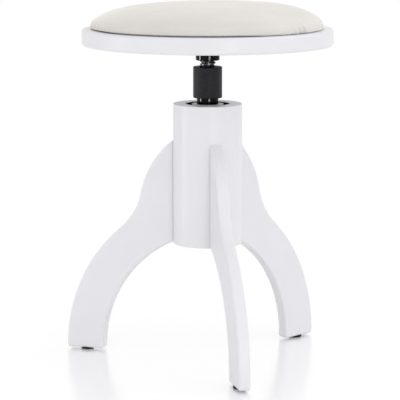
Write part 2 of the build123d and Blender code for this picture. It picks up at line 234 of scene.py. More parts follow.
def start(name):
    """A new material's tree, its shader and its place in the object's own metres."""
    material = bpy.data.materials.new(name)
    material.use_nodes = True
    tree = material.node_tree
    shader = tree.nodes["Principled BSDF"]
    place = add(tree, "ShaderNodeTexCoord").outputs["Object"]
    return material, tree, shader, place


def sprayed_white_lacquer():
    # White polyurethane lacquer sprayed on sanded board: an even, slightly cool white with a
    # satin sheen, and a faint orange peel. Orange peel is about 1 mm, drawn at 2.2 mm to show.
    material, tree, shader, place = start("sprayed_white_lacquer")
    cloud = add(tree, "ShaderNodeTexNoise", {"Vector": place, "Scale": per(70), "Detail": 2.0})
    tone = add(tree, "ShaderNodeMix", {
        0: cloud.outputs["Fac"], 6: linear("#E4E4E8"), 7: linear("#E8E8EC"),
    }, data_type="RGBA")
    tree.links.new(tone.outputs[2], shader.inputs["Base Color"])
    haze = add(tree, "ShaderNodeTexNoise", {"Vector": place, "Scale": per(18), "Detail": 3.0})
    gloss = add(tree, "ShaderNodeMapRange", {
        "Value": haze.outputs["Fac"], "From Min": 0.3, "From Max": 0.7,
        "To Min": 0.32, "To Max": 0.4,
    })
    tree.links.new(gloss.outputs["Result"], shader.inputs["Roughness"])
    peel = add(tree, "ShaderNodeTexNoise", {"Vector": place, "Scale": per(2.2), "Detail": 1.0})
    bump = add(tree, "ShaderNodeBump", {
        "Height": peel.outputs["Fac"], "Strength": 0.12, "Distance": 0.04 * MM,
    })
    tree.links.new(bump.outputs["Normal"], shader.inputs["Normal"])
    shader.inputs["IOR"].default_value = 1.5
    return material


def brushed_microfibre():
    # Short-pile polyester microfibre, brushed: a dull ivory whose pile lies this way and that in
    # soft patches, with a pale sheen at grazing angles. Fibre tufts are about 0.3 mm, drawn at
    # 1.3 mm to show.
    material, tree, shader, place = start("brushed_microfibre")
    patches = add(tree, "ShaderNodeTexNoise", {
        "Vector": place, "Scale": per(75), "Detail": 2.0, "Roughness": 0.5, "Distortion": 0.3,
    })
    tufts = add(tree, "ShaderNodeTexNoise", {
        "Vector": place, "Scale": per(1.3), "Detail": 3.0, "Roughness": 0.65,
    })
    lie = add(tree, "ShaderNodeMapRange", {
        "Value": patches.outputs["Fac"], "From Min": 0.3, "From Max": 0.7,
    })
    ground = add(tree, "ShaderNodeMix", {
        0: lie.outputs["Result"], 6: linear("#D9D6D1"), 7: linear("#E3E0DB"),
    }, data_type="RGBA")
    speck = add(tree, "ShaderNodeMapRange", {
        "Value": tufts.outputs["Fac"], "From Min": 0.35, "From Max": 0.7,
        "To Min": 0.0, "To Max": 0.3,
    })
    tone = add(tree, "ShaderNodeMix", {
        0: speck.outputs["Result"], 6: ground.outputs[2], 7: linear("#CBC6BF"),
    }, data_type="RGBA")
    tree.links.new(tone.outputs[2], shader.inputs["Base Color"])
    bump = add(tree, "ShaderNodeBump", {
        "Height": tufts.outputs["Fac"], "Strength": 0.35, "Distance": 0.25 * MM,
    })
    tree.links.new(bump.outputs["Normal"], shader.inputs["Normal"])
    shader.inputs["Roughness"].default_value = 0.95
    shader.inputs["Specular IOR Level"].default_value = 0.2
    shader.inputs["Sheen Weight"].default_value = 1.0
    shader.inputs["Sheen Roughness"].default_value = 0.45
    shader.inputs["Sheen Tint"].default_value = linear("#F4F1EC")
    return material


def stoved_black_enamel():
    # Gloss black enamel stoved on steel: deep black with sharp narrow reflections, which a slow
    # waviness and handling haze break up a little.
    material, tree, shader, place = start("stoved_black_enamel")
    haze = add(tree, "ShaderNodeTexNoise", {"Vector": place, "Scale": per(9), "Detail": 4.0})
    tone = add(tree, "ShaderNodeMix", {
        0: haze.outputs["Fac"], 6: linear("#010101"), 7: linear("#040405"),
    }, data_type="RGBA")
    tree.links.new(tone.outputs[2], shader.inputs["Base Color"])
    gloss = add(tree, "ShaderNodeMapRange", {
        "Value": haze.outputs["Fac"], "From Min": 0.3, "From Max": 0.75,
        "To Min": 0.05, "To Max": 0.1,
    })
    tree.links.new(gloss.outputs["Result"], shader.inputs["Roughness"])
    flow = add(tree, "ShaderNodeTexNoise", {"Vector": place, "Scale": per(6), "Detail": 0.0})
    bump = add(tree, "ShaderNodeBump", {
        "Height": flow.outputs["Fac"], "Strength": 0.1, "Distance": 0.03 * MM,
    })
    tree.links.new(bump.outputs["Normal"], shader.inputs["Normal"])
    shader.inputs["Specular IOR Level"].default_value = 0.1
    return material


def blackened_rolled_steel():
    # Rolled steel thread, chemically blackened and oiled: charcoal in the grooves, a little
    # rubbed to bright steel along the crests where the nut runs.
    material, tree, shader, place = start("blackened_rolled_steel")
    stain = add(tree, "ShaderNodeTexNoise", {"Vector": place, "Scale": per(3), "Detail": 4.0})
    ground = add(tree, "ShaderNodeMix", {
        0: stain.outputs["Fac"], 6: linear("#141416"), 7: linear("#232326"),
    }, data_type="RGBA")
    apart = add(tree, "ShaderNodeSeparateXYZ", {0: place})
    flat = add(tree, "ShaderNodeCombineXYZ", {0: apart.outputs["X"], 1: apart.outputs["Y"]})
    radius = add(tree, "ShaderNodeVectorMath", {0: flat.outputs[0]}, operation="LENGTH")
    crest = add(tree, "ShaderNodeMapRange", {
        "Value": radius.outputs["Value"],
        "From Min": RUBBED_FROM_R * MM, "From Max": RUBBED_FULL_R * MM,
        "To Min": 0.0, "To Max": 0.25,
    })
    rub = add(tree, "ShaderNodeMath", {
        0: crest.outputs["Result"], 1: stain.outputs["Fac"],
    }, operation="MULTIPLY")
    tone = add(tree, "ShaderNodeMix", {
        0: rub.outputs["Value"], 6: ground.outputs[2], 7: linear("#8E8F94"),
    }, data_type="RGBA")
    tree.links.new(tone.outputs[2], shader.inputs["Base Color"])
    gloss = add(tree, "ShaderNodeMapRange", {
        "Value": stain.outputs["Fac"], "From Min": 0.3, "From Max": 0.7,
        "To Min": 0.28, "To Max": 0.45,
    })
    tree.links.new(gloss.outputs["Result"], shader.inputs["Roughness"])
    shader.inputs["Metallic"].default_value = 0.85
    return material


def moulded_black_plastic():
    # ABS moulded in a spark-eroded tool: dark blue-black, mottled, with a dull fine grain. The
    # grain is about 0.2 mm, drawn at 0.8 mm to show.
    material, tree, shader, place = start("moulded_black_plastic")
    grain = add(tree, "ShaderNodeTexNoise", {"Vector": place, "Scale": per(0.8), "Detail": 2.0})
    scuff = add(tree, "ShaderNodeTexNoise", {"Vector": place, "Scale": per(5), "Detail": 4.0})
    mottle = add(tree, "ShaderNodeMapRange", {
        "Value": scuff.outputs["Fac"], "From Min": 0.3, "From Max": 0.7,
    })
    tone = add(tree, "ShaderNodeMix", {
        0: mottle.outputs["Result"], 6: linear("#111115"), 7: linear("#202027"),
    }, data_type="RGBA")
    tree.links.new(tone.outputs[2], shader.inputs["Base Color"])
    gloss = add(tree, "ShaderNodeMapRange", {
        "Value": scuff.outputs["Fac"], "From Min": 0.3, "From Max": 0.7,
        "To Min": 0.42, "To Max": 0.52,
    })
    tree.links.new(gloss.outputs["Result"], shader.inputs["Roughness"])
    bump = add(tree, "ShaderNodeBump", {
        "Height": grain.outputs["Fac"], "Strength": 0.3, "Distance": 0.08 * MM,
    })
    tree.links.new(bump.outputs["Normal"], shader.inputs["Normal"])
    shader.inputs["Specular IOR Level"].default_value = 0.25
    return material


def dead_black_plastic_painted_shade():
    # The same black plastic, darker and dead matt, giving back no shine even to light that rakes
    # it: partly the ring's own black, partly painted shade that stands in for the shadowed gap in
    # the column's bore. Fine marks of about 0.1 mm are drawn at 0.5 mm to show.
    material, tree, shader, place = start("dead_black_plastic_painted_shade")
    marks = add(tree, "ShaderNodeTexNoise", {"Vector": place, "Scale": per(0.5), "Detail": 3.0})
    tone = add(tree, "ShaderNodeMix", {
        0: marks.outputs["Fac"], 6: linear("#0A0A0B"), 7: linear("#171719"),
    }, data_type="RGBA")
    tree.links.new(tone.outputs[2], shader.inputs["Base Color"])
    shader.inputs["Roughness"].default_value = 1.0
    shader.inputs["Specular IOR Level"].default_value = 0.0
    return material


def turned_nylon():
    # Natural nylon turned on a lathe: waxy off-white, a little see-through at its edges, with
    # fine turning rings. The rings are about 0.1 mm apart, drawn at 0.6 mm to show.
    material, tree, shader, place = start("turned_nylon")
    cloud = add(tree, "ShaderNodeTexNoise", {"Vector": place, "Scale": per(8), "Detail": 2.0})
    tone = add(tree, "ShaderNodeMix", {
        0: cloud.outputs["Fac"], 6: linear("#CFCFCC"), 7: linear("#DAD9D5"),
    }, data_type="RGBA")
    tree.links.new(tone.outputs[2], shader.inputs["Base Color"])
    rings = add(tree, "ShaderNodeTexWave", {
        "Vector": place, "Scale": per(0.6) / WAVE_RATE, "Distortion": 0.3,
    }, wave_type="RINGS", rings_direction="Z")
    bump = add(tree, "ShaderNodeBump", {
        "Height": rings.outputs["Fac"], "Strength": 0.2, "Distance": 0.03 * MM,
    })
    tree.links.new(bump.outputs["Normal"], shader.inputs["Normal"])
    shader.inputs["Roughness"].default_value = 0.45
    shader.inputs["IOR"].default_value = 1.53
    return material


def zinc_plated_steel():
    # Steel with bright zinc plating: pale blue-grey metal with a cloudy spangle and a few dull
    # handling marks.
    material, tree, shader, place = start("zinc_plated_steel")
    spangle = add(tree, "ShaderNodeTexVoronoi", {"Vector": place, "Scale": per(2.5)})
    cloud = add(tree, "ShaderNodeTexNoise", {"Vector": place, "Scale": per(4), "Detail": 4.0})
    tone = add(tree, "ShaderNodeMix", {
        0: cloud.outputs["Fac"], 6: linear("#A9ADB3"), 7: linear("#C9CCD0"),
    }, data_type="RGBA")
    tree.links.new(tone.outputs[2], shader.inputs["Base Color"])
    gloss = add(tree, "ShaderNodeMapRange", {
        "Value": spangle.outputs["Distance"], "From Min": 0.0, "From Max": 0.8,
        "To Min": 0.24, "To Max": 0.4,
    })
    tree.links.new(gloss.outputs["Result"], shader.inputs["Roughness"])
    shader.inputs["Metallic"].default_value = 1.0
    return material


def blackened_screw_steel():
    # Black phosphated steel: dark grey metal, dull and slightly mottled.
    material, tree, shader, place = start("blackened_screw_steel")
    stain = add(tree, "ShaderNodeTexNoise", {"Vector": place, "Scale": per(1.6), "Detail": 4.0})
    tone = add(tree, "ShaderNodeMix", {
        0: stain.outputs["Fac"], 6: linear("#1A1A1C"), 7: linear("#303033"),
    }, data_type="RGBA")
    tree.links.new(tone.outputs[2], shader.inputs["Base Color"])
    gloss = add(tree, "ShaderNodeMapRange", {
        "Value": stain.outputs["Fac"], "From Min": 0.3, "From Max": 0.7,
        "To Min": 0.35, "To Max": 0.5,
    })
    tree.links.new(gloss.outputs["Result"], shader.inputs["Roughness"])
    shader.inputs["Metallic"].default_value = 0.8
    return material


def turned_brass():
    # Free-cutting brass turned on a lathe: yellow metal with fine rings and a little tarnish.
    material, tree, shader, place = start("turned_brass")
    tarnish = add(tree, "ShaderNodeTexNoise", {"Vector": place, "Scale": per(7), "Detail": 4.0})
    tone = add(tree, "ShaderNodeMix", {
        0: tarnish.outputs["Fac"], 6: linear("#9C7A3C"), 7: linear("#CDA75C"),
    }, data_type="RGBA")
    tree.links.new(tone.outputs[2], shader.inputs["Base Color"])
    rings = add(tree, "ShaderNodeTexWave", {
        "Vector": place, "Scale": per(0.6) / WAVE_RATE, "Distortion": 0.4,
    }, wave_type="BANDS", bands_direction="Z")
    bump = add(tree, "ShaderNodeBump", {
        "Height": rings.outputs["Fac"], "Strength": 0.25, "Distance": 0.03 * MM,
    })
    tree.links.new(bump.outputs["Normal"], shader.inputs["Normal"])
    shader.inputs["Metallic"].default_value = 1.0
    shader.inputs["Roughness"].default_value = 0.3
    return material


def sawn_birch_plywood():
    # Birch plywood, sawn: 1.3 mm plies that show as light and dark lines round the edge, and a
    # straight fine grain on the faces.
    material, tree, shader, place = start("sawn_birch_plywood")
    grain = add(tree, "ShaderNodeMapping", {
        "Vector": place, "Scale": (per(60), per(2.0), per(2.6)),
    })
    fibre = add(tree, "ShaderNodeTexNoise", {
        "Vector": grain.outputs["Vector"], "Scale": 1.0, "Detail": 4.0,
    })
    plies = add(tree, "ShaderNodeTexWave", {
        "Vector": place, "Scale": per(2.6) / WAVE_RATE, "Distortion": 0.2,
    }, wave_type="BANDS", bands_direction="Z")
    layer = add(tree, "ShaderNodeMix", {
        0: plies.outputs["Fac"], 6: linear("#B8925F"), 7: linear("#DDBE8E"),
    }, data_type="RGBA")
    tone = add(tree, "ShaderNodeMix", {
        0: fibre.outputs["Fac"], 6: layer.outputs[2], 7: linear("#CFAE7C"),
    }, data_type="RGBA")
    tree.links.new(tone.outputs[2], shader.inputs["Base Color"])
    bump = add(tree, "ShaderNodeBump", {
        "Height": fibre.outputs["Fac"], "Strength": 0.3, "Distance": 0.1 * MM,
    })
    tree.links.new(bump.outputs["Normal"], shader.inputs["Normal"])
    shader.inputs["Roughness"].default_value = 0.75
    return material


def cut_foam():
    # Open-cell polyurethane foam, cut: pale yellow and dull, pitted by cells of about 0.7 mm,
    # drawn at 1.4 mm to show.
    material, tree, shader, place = start("cut_foam")
    cells = add(tree, "ShaderNodeTexVoronoi", {"Vector": place, "Scale": per(1.4)})
    tone = add(tree, "ShaderNodeMix", {
        0: cells.outputs["Distance"], 6: linear("#D6C894"), 7: linear("#EFE6BF"),
    }, data_type="RGBA")
    tree.links.new(tone.outputs[2], shader.inputs["Base Color"])
    bump = add(tree, "ShaderNodeBump", {
        "Height": cells.outputs["Distance"], "Strength": 0.6, "Distance": 0.4 * MM,
    })
    tree.links.new(bump.outputs["Normal"], shader.inputs["Normal"])
    shader.inputs["Roughness"].default_value = 0.95
    return material


def piece_from(name, mesh_bm, material):
    """A new piece from a bmesh, in the scene with its material."""
    mesh = bpy.data.meshes.new(name)
    mesh_bm.to_mesh(mesh)
    mesh_bm.free()
    piece = bpy.data.objects.new(name, mesh)
    bpy.context.scene.collection.objects.link(piece)
    mesh.materials.append(material)
    return piece


def select_only(piece):
    """Makes a piece the one that Blender's operators act on."""
    for other in bpy.context.selected_objects:
        other.select_set(False)
    piece.select_set(True)
    bpy.context.view_layer.objects.active = piece


def apply_modifiers(piece):
    """Replaces a piece's mesh by what its modifiers make of it."""
    bpy.context.view_layer.update()
    depsgraph = bpy.context.evaluated_depsgraph_get()
    made = bpy.data.meshes.new_from_object(piece.evaluated_get(depsgraph))
    piece.modifiers.clear()
    piece.data = made


def on_circle(radius, height, i, sides):
    """The i-th of a ring's points round the axis, at a radius and height in mm."""
    a = 2 * math.pi * i / sides
    return (radius * MM * math.cos(a), radius * MM * math.sin(a), height * MM)


def ring_at(bm, radius, height, sides):
    """A ring of vertices round the axis, or one vertex on it."""
    if radius < ON_AXIS:
        return [bm.verts.new((0, 0, height * MM))]
    return [bm.verts.new(on_circle(radius, height, i, sides)) for i in range(sides)]


def bridge(bm, low, high, sides, flip=False):
    """Joins two rings by faces. A ring of one vertex closes the form."""
    for i in range(sides):
        j = (i + 1) % sides
        corners = [
            low[i % len(low)], low[j % len(low)], high[j % len(high)], high[i % len(high)],
        ]
        corners = list(dict.fromkeys(corners))
        if flip:
            corners.reverse()
        if len(corners) > 2:
            bm.faces.new(corners)


def turned(bm, profile, sides):
    """Adds a turned solid: profile runs from the axis round to the axis as (radius, height)."""
    rings = [ring_at(bm, radius, height, sides) for radius, height in profile]
    for low, high in zip(rings, rings[1:]):
        bridge(bm, low, high, sides)


def threaded(bm, z0, z1, crest_d, root_d, pitch, sides, runout, below, above):
    """Adds a right-hand threaded rod from z0 to z1, with plain ends that run on below and above.

    Rows of vertices follow the helix, so crest, flanks and root stay clean lines. Rows past an end
    close on one ring, which the plain profile below or above carries on to the axis.
    """
    rows = ((0.0, root_d), (0.3, root_d), (0.5, crest_d), (0.8, crest_d))
    points = {}
    grid = []
    for turn in range(-2, int((z1 - z0) / pitch) + 3):
        for phase, diameter in rows:
            row = []
            for i in range(sides):
                z = z0 + (turn + phase + i / sides) * pitch
                inside = min(max(z, z0), z1)
                near = min(inside - z0, z1 - inside)
                share = min(max(near / runout, 0.0), 1.0)
                d = crest_d + (diameter - crest_d) * share
                key = (i, round(inside, 4), round(d, 4))
                if key not in points:
                    points[key] = bm.verts.new(on_circle(d / 2, inside, i, sides))
                row.append(points[key])
            grid.append(row)
    for k in range(len(grid) - 1 - len(rows)):
        for i in range(sides):
            j = (i + 1) % sides
            step = len(rows) if j == 0 else 0
            corners = [grid[k][i], grid[k + step][j], grid[k + 1 + step][j], grid[k + 1][i]]
            corners = list(dict.fromkeys(corners))
            if len(corners) > 2 and bm.faces.get(corners) is None:
                bm.faces.new(corners)
    for z_end, profile in ((z0, below), (z1, above)):
        ring = [points[(i, round(z_end, 4), round(crest_d, 4))] for i in range(sides)]
        for radius, height in profile:
            new = ring_at(bm, radius, height, sides)
            bridge(bm, ring, new, sides, flip=z_end == z0)
            ring = new


def smooth(piece, angle):
    """Smooth shading with sharp edges above an angle in degrees."""
    bm = bmesh.new()
    bm.from_mesh(piece.data)
    bmesh.ops.recalc_face_normals(bm, faces=bm.faces)
    for face in bm.faces:
        face.smooth = True
    for edge in bm.edges:
        if len(edge.link_faces) == 2:
            edge.smooth = edge.calc_face_angle(0.0) < math.radians(angle)
    bm.to_mesh(piece.data)
    bm.free()


def cut(piece, tool):
    """Cuts a tool piece's shape out of a piece, and removes the tool."""
    change = piece.modifiers.new("cut", "BOOLEAN")
    change.operation = "DIFFERENCE"
    change.solver = "EXACT"
    change.object = tool
    apply_modifiers(piece)
    bpy.data.objects.remove(tool)


def make_spindle(material):
    """The screw spindle: its thread, a plain top for the hub and a neck for the guide bush."""
    bm = bmesh.new()
    half = SPINDLE_D / 2
    bore_top = NECK_Z0 + STOP_BORE_L
    below = [
        (half, NECK_Z1 + NECK_CHAMFER), (half - NECK_CHAMFER, NECK_Z1), (NECK_D / 2, NECK_Z1),
        (NECK_D / 2, NECK_Z0), (STOP_BORE_D / 2, NECK_Z0), (STOP_BORE_D / 2, bore_top),
        (0, bore_top),
    ]
    above = [(half, SEAT_UNDER - TOP_CHAMFER), (half - TOP_CHAMFER, SEAT_UNDER), (0, SEAT_UNDER)]
    threaded(bm, NECK_Z1 + THREAD_START, THREAD_TOP, SPINDLE_D, SPINDLE_ROOT_D, THREAD_PITCH,
             THREAD_SIDES, THREAD_RUNOUT, below, above)
    piece = piece_from("spindle_screw", bm, material)
    drill = bmesh.new()
    ends = ((0, -DRILL_HALF), (PIN_HOLE_D / 2, -DRILL_HALF), (PIN_HOLE_D / 2, DRILL_HALF),
            (0, DRILL_HALF))
    turned(drill, ends, DRILL_SIDES)
    across = Matrix.Rotation(math.pi / 2, 4, "Y")
    drill.transform(Matrix.Translation((0, 0, PIN_Z * MM)) @ across)
    bmesh.ops.recalc_face_normals(drill, faces=drill.faces)
    cut(piece, piece_from("pin_drill", drill, material))
    smooth(piece, SPINDLE_CREASE)
    return piece


def make_screw_blank(material):
    """One pan-head wood screw, head down, its seat at height 0: domed head with a cross recess."""
    bm = bmesh.new()
    half = SCREW_HEAD_D / 2
    head = [(half - inset, height) for inset, height in SCREW_HEAD]
    point = [(radius, SCREW_BITE - back) for radius, back in SCREW_POINT]
    threaded(bm, SCREW_SHANK, SCREW_BITE - SCREW_TIP, SCREW_D, SCREW_CORE_D, SCREW_PITCH,
             SCREW_SIDES, SCREW_RUNOUT, [(SCREW_D / 2, 0.0), *head, (0, -SCREW_HEAD_H)], point)
    piece = piece_from("screw_blank", bm, material)
    for turn in (0, math.pi / 2):
        wing = bmesh.new()
        bmesh.ops.create_cube(wing, size=1.0)
        for v in wing.verts:
            length, width, height = CROSS_BOTTOM if v.co.z > 0 else CROSS_OUTSIDE
            v.co = Vector((v.co.x * length, v.co.y * width, height)) * MM
        bmesh.ops.rotate(wing, verts=wing.verts, matrix=Matrix.Rotation(turn, 3, "Z"))
        bmesh.ops.recalc_face_normals(wing, faces=wing.faces)
        cut(piece, piece_from("cross_wing", wing, material))
    smooth(piece, SCREW_CREASE)
    return piece


def make_screws(name, blank, count, radius, seat_z, first_angle, material):
    """A ring of screws as one piece, each turned a little differently, as driven by hand."""
    bm = bmesh.new()
    out = Matrix.Translation((radius * MM, 0, seat_z * MM))
    for i in range(count):
        copy = blank.data.copy()
        stray = DRIVEN_STEP * i + DRIVEN_STRAY * (i % 3)
        driven = Matrix.Rotation(math.radians(stray), 4, "Z")
        place = Matrix.Rotation(math.radians(first_angle + 360 * i / count), 4, "Z")
        copy.transform(place @ out @ driven)
        bm.from_mesh(copy)
        bpy.data.meshes.remove(copy)
    return piece_from(name, bm, material)


def crown(share, inset):
    """A point of the cushion's outline: share 0 at the top centre to 1 at the widest line."""
    a = math.pi / 2 * share
    power = 2 / CROWN_POWER
    r = (CUSHION_R - inset) * math.sin(a) ** power
    z = GIRTH_H + (CUSHION_H - GIRTH_H - inset) * max(math.cos(a), 0.0) ** power
    return r, SEAT_TOP + z


def fullness(co):
    """1 on the cushion's intended outline, less inside it, for points above the widest line."""
    r = np.hypot(co[:, 0], co[:, 1]) / (CUSHION_R * MM)
    h = np.maximum(co[:, 2] - (SEAT_TOP + GIRTH_H) * MM, 0.0) / ((CUSHION_H - GIRTH_H) * MM)
    return (r ** CROWN_POWER + h ** CROWN_POWER) ** (1 / CROWN_POWER)


def coordinates(mesh):
    """A mesh's points as an array of rows."""
    co = np.empty(len(mesh.vertices) * 3)
    mesh.vertices.foreach_get("co", co)
    return co.reshape(-1, 3)


def set_coordinates(mesh, co):
    """Moves a mesh's points to the rows of an array."""
    mesh.vertices.foreach_set("co", co.astype(np.float32).ravel())
    mesh.update()


def swell(cushion):
    """Blows the cushion's cover up with cloth, its sole held to the seat, and keeps the result."""
    rest = coordinates(cushion.data)
    sole = cushion.vertex_groups.new(name="sole")
    held = np.nonzero(rest[:, 2] < (SEAT_TOP + SOLE_HELD) * MM)[0]
    sole.add([int(i) for i in held], 1.0, "REPLACE")
    cloth = cushion.modifiers.new("cloth", "CLOTH")
    for name, value in CLOTH.items():
        setattr(cloth.settings, name, value)
    cloth.settings.effector_weights.gravity = 0
    cloth.point_cache.frame_start = 1
    cloth.point_cache.frame_end = SIM_FRAMES
    scene = bpy.context.scene
    for step in range(1, SIM_FRAMES + 1):
        scene.frame_set(step)
    apply_modifiers(cushion)
    scene.frame_set(1)
    cushion.vertex_groups.clear()
    moved = coordinates(cushion.data) - rest
    length = np.linalg.norm(moved, axis=1, keepdims=True)
    moved *= np.minimum(1.0, SWELL_CAP * MM / np.maximum(length, TINY))
    set_coordinates(cushion.data, rest + moved)


def settle(cushion):
    """Keeps the swollen pad near its outline, on the seat and drawn in at its lower edge."""
    co = coordinates(cushion.data)
    middle = np.array([0.0, 0.0, (SEAT_TOP + GIRTH_H) * MM])
    above = co[:, 2] > middle[2]
    arm = co - middle
    play = FORM_PLAY * MM / np.maximum(np.linalg.norm(arm, axis=1), TINY)
    full = np.maximum(fullness(co), TINY)
    scale = np.clip(full, 1 - play, 1 + play) / full
    co[above] = middle + arm[above] * scale[above, None]
    height = np.clip((co[:, 2] / MM - SEAT_TOP) / GIRTH_H, 0.0, 1.0)
    most = (CUSHION_R - TUCK * (1 - height) ** 2) * MM
    radius = np.maximum(np.hypot(co[:, 0], co[:, 1]), TINY)
    edge = ~above & (radius > (CUSHION_R - 3 * TUCK) * MM)
    co[edge, :2] *= (most / radius)[edge, None]
    co[:, 2] = np.maximum(co[:, 2], (SEAT_TOP + SOLE_GAP) * MM)
    set_coordinates(cushion.data, co)


def fold(cushion):
    """Presses the pulled folds, the filling and a slow hand-made ripple into the cover."""
    mesh = cushion.data
    co = coordinates(mesh)
    out = np.array([v.normal for v in mesh.vertices])
    turn = np.degrees(np.arctan2(co[:, 0], -co[:, 1]) - CAMERA_AZ)
    turn = (turn + 180) % 360 - 180
    height = co[:, 2] / MM - SEAT_TOP
    along = np.radians(turn) * CUSHION_R
    push = np.zeros(len(co))
    for turn0, high0, turn1, high1, depth, width in FOLDS:
        top = np.array([math.radians(turn0) * CUSHION_R, high0])
        run = np.array([math.radians(turn1) * CUSHION_R, high1]) - top
        length = np.linalg.norm(run)
        run /= length
        away = np.stack([along, height], axis=1) - top
        share = np.clip(away @ run / length, 0.0, 1.0)
        past = np.maximum(np.abs(away @ run - length / 2) - length / 2, 0.0)
        side = away @ np.array([-run[1], run[0]])
        fade = np.clip(share * FOLD_GROWTH, 0.0, 1.0) * np.exp(-(past / width) ** 2)
        valley = np.exp(-(side / width) ** 2)
        ridge = np.exp(-((side - RIDGE_OFF * width) / width) ** 2)
        push += depth * fade * (RIDGE_SHARE * ridge - valley)
    for turn0, wide, high0, tall, bulge in FILLING:
        off = (turn - turn0 + 180) % 360 - 180
        push += bulge * np.exp(-(off / wide) ** 2 - ((height - high0) / tall) ** 2)
    for i, point in enumerate(co):
        if height[i] > RIPPLE_FROM:
            place = Vector(point) / (RIPPLE_MM * MM)
            grown = min((height[i] - RIPPLE_FROM) / RIPPLE_RISE, 1.0)
            push[i] += RIPPLE_H * noise.noise(place) * grown
    push[height < SOLE_RIM] = 0.0
    out[height < GIRTH_H, 2] = 0.0
    set_coordinates(mesh, co + out * push[:, None] * MM)


def about(angle, distance, height):
    """A point at an angle from the stool's front, in radians, towards its right."""
    return (distance * math.sin(angle), -distance * math.cos(angle), height)


def edge_gap(material):
    """A wedge-shaped ring that cuts the shadow gap between the cover's edge and the seat."""
    bm = bmesh.new()
    inner_r = CUSHION_R - TUCK - GAP_IN
    outer_r = CUSHION_R + GAP_PAST
    rows = []
    for i in range(GAP_SIDES):
        turn = -180 + 360 * i / GAP_SIDES
        a = math.radians(turn) + CAMERA_AZ
        lift = float(np.interp(turn, GAP_TURNS, GAP_HEIGHTS))
        rise = lift * (outer_r - inner_r) / (CUSHION_R - TUCK - inner_r)
        corners = (
            (inner_r, GAP_INNER_H), (outer_r, rise), (outer_r, GAP_BELOW), (inner_r, GAP_BELOW),
        )
        rows.append([bm.verts.new(about(a, r * MM, (SEAT_TOP + z) * MM)) for r, z in corners])
    for i, row in enumerate(rows):
        after = rows[(i + 1) % GAP_SIDES]
        for k in range(4):
            bm.faces.new((row[k], row[(k + 1) % 4], after[(k + 1) % 4], after[k]))
    bmesh.ops.recalc_face_normals(bm, faces=bm.faces)
    return piece_from("edge_gap", bm, material)


def make_cushion(material):
    """The round seat cushion: a domed pad pulled in at its lower edge, its cover turned under."""
    bm = bmesh.new()
    profile = [crown(i / CROWN_STEPS, START_INSET) for i in range(CROWN_STEPS + 1)]
    edge = CUSHION_R - START_INSET
    for share in (0.5, 1.0):
        profile.append((edge - TUCK * share ** 2, SEAT_TOP + GIRTH_H * (1 - share)))
    profile.append((0.0, SEAT_TOP))
    profile.reverse()
    turned(bm, profile, PAD_SIDES)
    bmesh.ops.recalc_face_normals(bm, faces=bm.faces)
    cushion = piece_from("cushion", bm, material)
    select_only(cushion)
    cushion.data.remesh_voxel_size = VOXEL * MM
    bpy.ops.object.voxel_remesh()
    swell(cushion)
    settle(cushion)
    finer = cushion.modifiers.new("finer", "SUBSURF")
    finer.levels = 1
    finer.render_levels = 1
    apply_modifiers(cushion)
    settle(cushion)
    fold(cushion)
    lining = bmesh.new()
    inner = [crown(i / CROWN_STEPS, LINING_INSET) for i in range(CROWN_STEPS + 1)]
    low = SEAT_TOP + LINING_INSET
    past = SEAT_TOP - LINING_PAST
    inner += [
        (CUSHION_R - LINING_INSET - LINING_DRAW, low), (HOLE_R, low), (HOLE_R, past), (0, past),
    ]
    turned(lining, inner, LINING_SIDES)
    bmesh.ops.recalc_face_normals(lining, faces=lining.faces)
    cut(cushion, edge_gap(material))
    cut(cushion, piece_from("lining", lining, material))
    smooth(cushion, COVER_CREASE)
    return cushion


materials = {
    "white_lacquer": sprayed_white_lacquer(),
    "cover": brushed_microfibre(),
    "black_gloss": stoved_black_enamel(),
    "thread": blackened_rolled_steel(),
    "black_plastic": moulded_black_plastic(),
    "painted_shade_plastic": dead_black_plastic_painted_shade(),
    # The bore ring's near-black, shine-free finish is partly painted shade for the shadowed gap in
    # the bore
    "nylon": turned_nylon(),
    "zinc_steel": zinc_plated_steel(),
    "black_oxide": blackened_screw_steel(),
    "brass": turned_brass(),
    "plywood": sawn_birch_plywood(),
    "foam": cut_foam(),
}

FINISHES = {
    "white_lacquer": ("seat_disc", "column", "leg_front", "leg_left", "leg_right"),
    "black_gloss": ("guide_tube", "seat_flange", "base_plate"),
    "black_plastic": ("nut_sleeve", "glide_front", "glide_left", "glide_right"),
    # The bore ring's near-black, shine-free finish is partly painted shade for the shadowed gap in
    # the bore
    "painted_shade_plastic": ("bore_ring",),
    "nylon": ("guide_bush", "tube_collar"),
    "zinc_steel": ("spindle_pin", "stop_washer", "stop_screw", "leg_bolts", "glide_nails"),
    "black_oxide": ("spindle_nut",),
    "brass": ("leg_inserts",),
    "plywood": ("cushion_board",),
    "foam": ("foam_pad",),
}
for finish, names in FINISHES.items():
    for name in names:
        nodes[name].data.materials.clear()
        nodes[name].data.materials.append(materials[finish])

spindle = make_spindle(materials["thread"])
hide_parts("spindle")
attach(spindle, "seat")

blank = make_screw_blank(materials["black_oxide"])
for name, node, body, count, radius, seat_z, first_angle, finish in SCREW_SETS:
    screws = make_screws(name, blank, count, radius, seat_z, first_angle, materials[finish])
    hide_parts(node)
    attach(screws, body)
bpy.data.objects.remove(blank)

cushion = make_cushion(materials["cover"])
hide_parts("seat_cover")
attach(cushion, "seat")


def seen(tree):
    """1 for rays from the camera and for mirrored or let-through ones, 0 for those that light."""
    ray = add(tree, "ShaderNodeLightPath").outputs
    shown = ray["Is Camera Ray"]
    for other in ("Is Glossy Ray", "Is Transmission Ray"):
        either = add(tree, "ShaderNodeMath", {0: shown, 1: ray[other]}, operation="MAXIMUM")
        shown = either.outputs[0]
    return shown


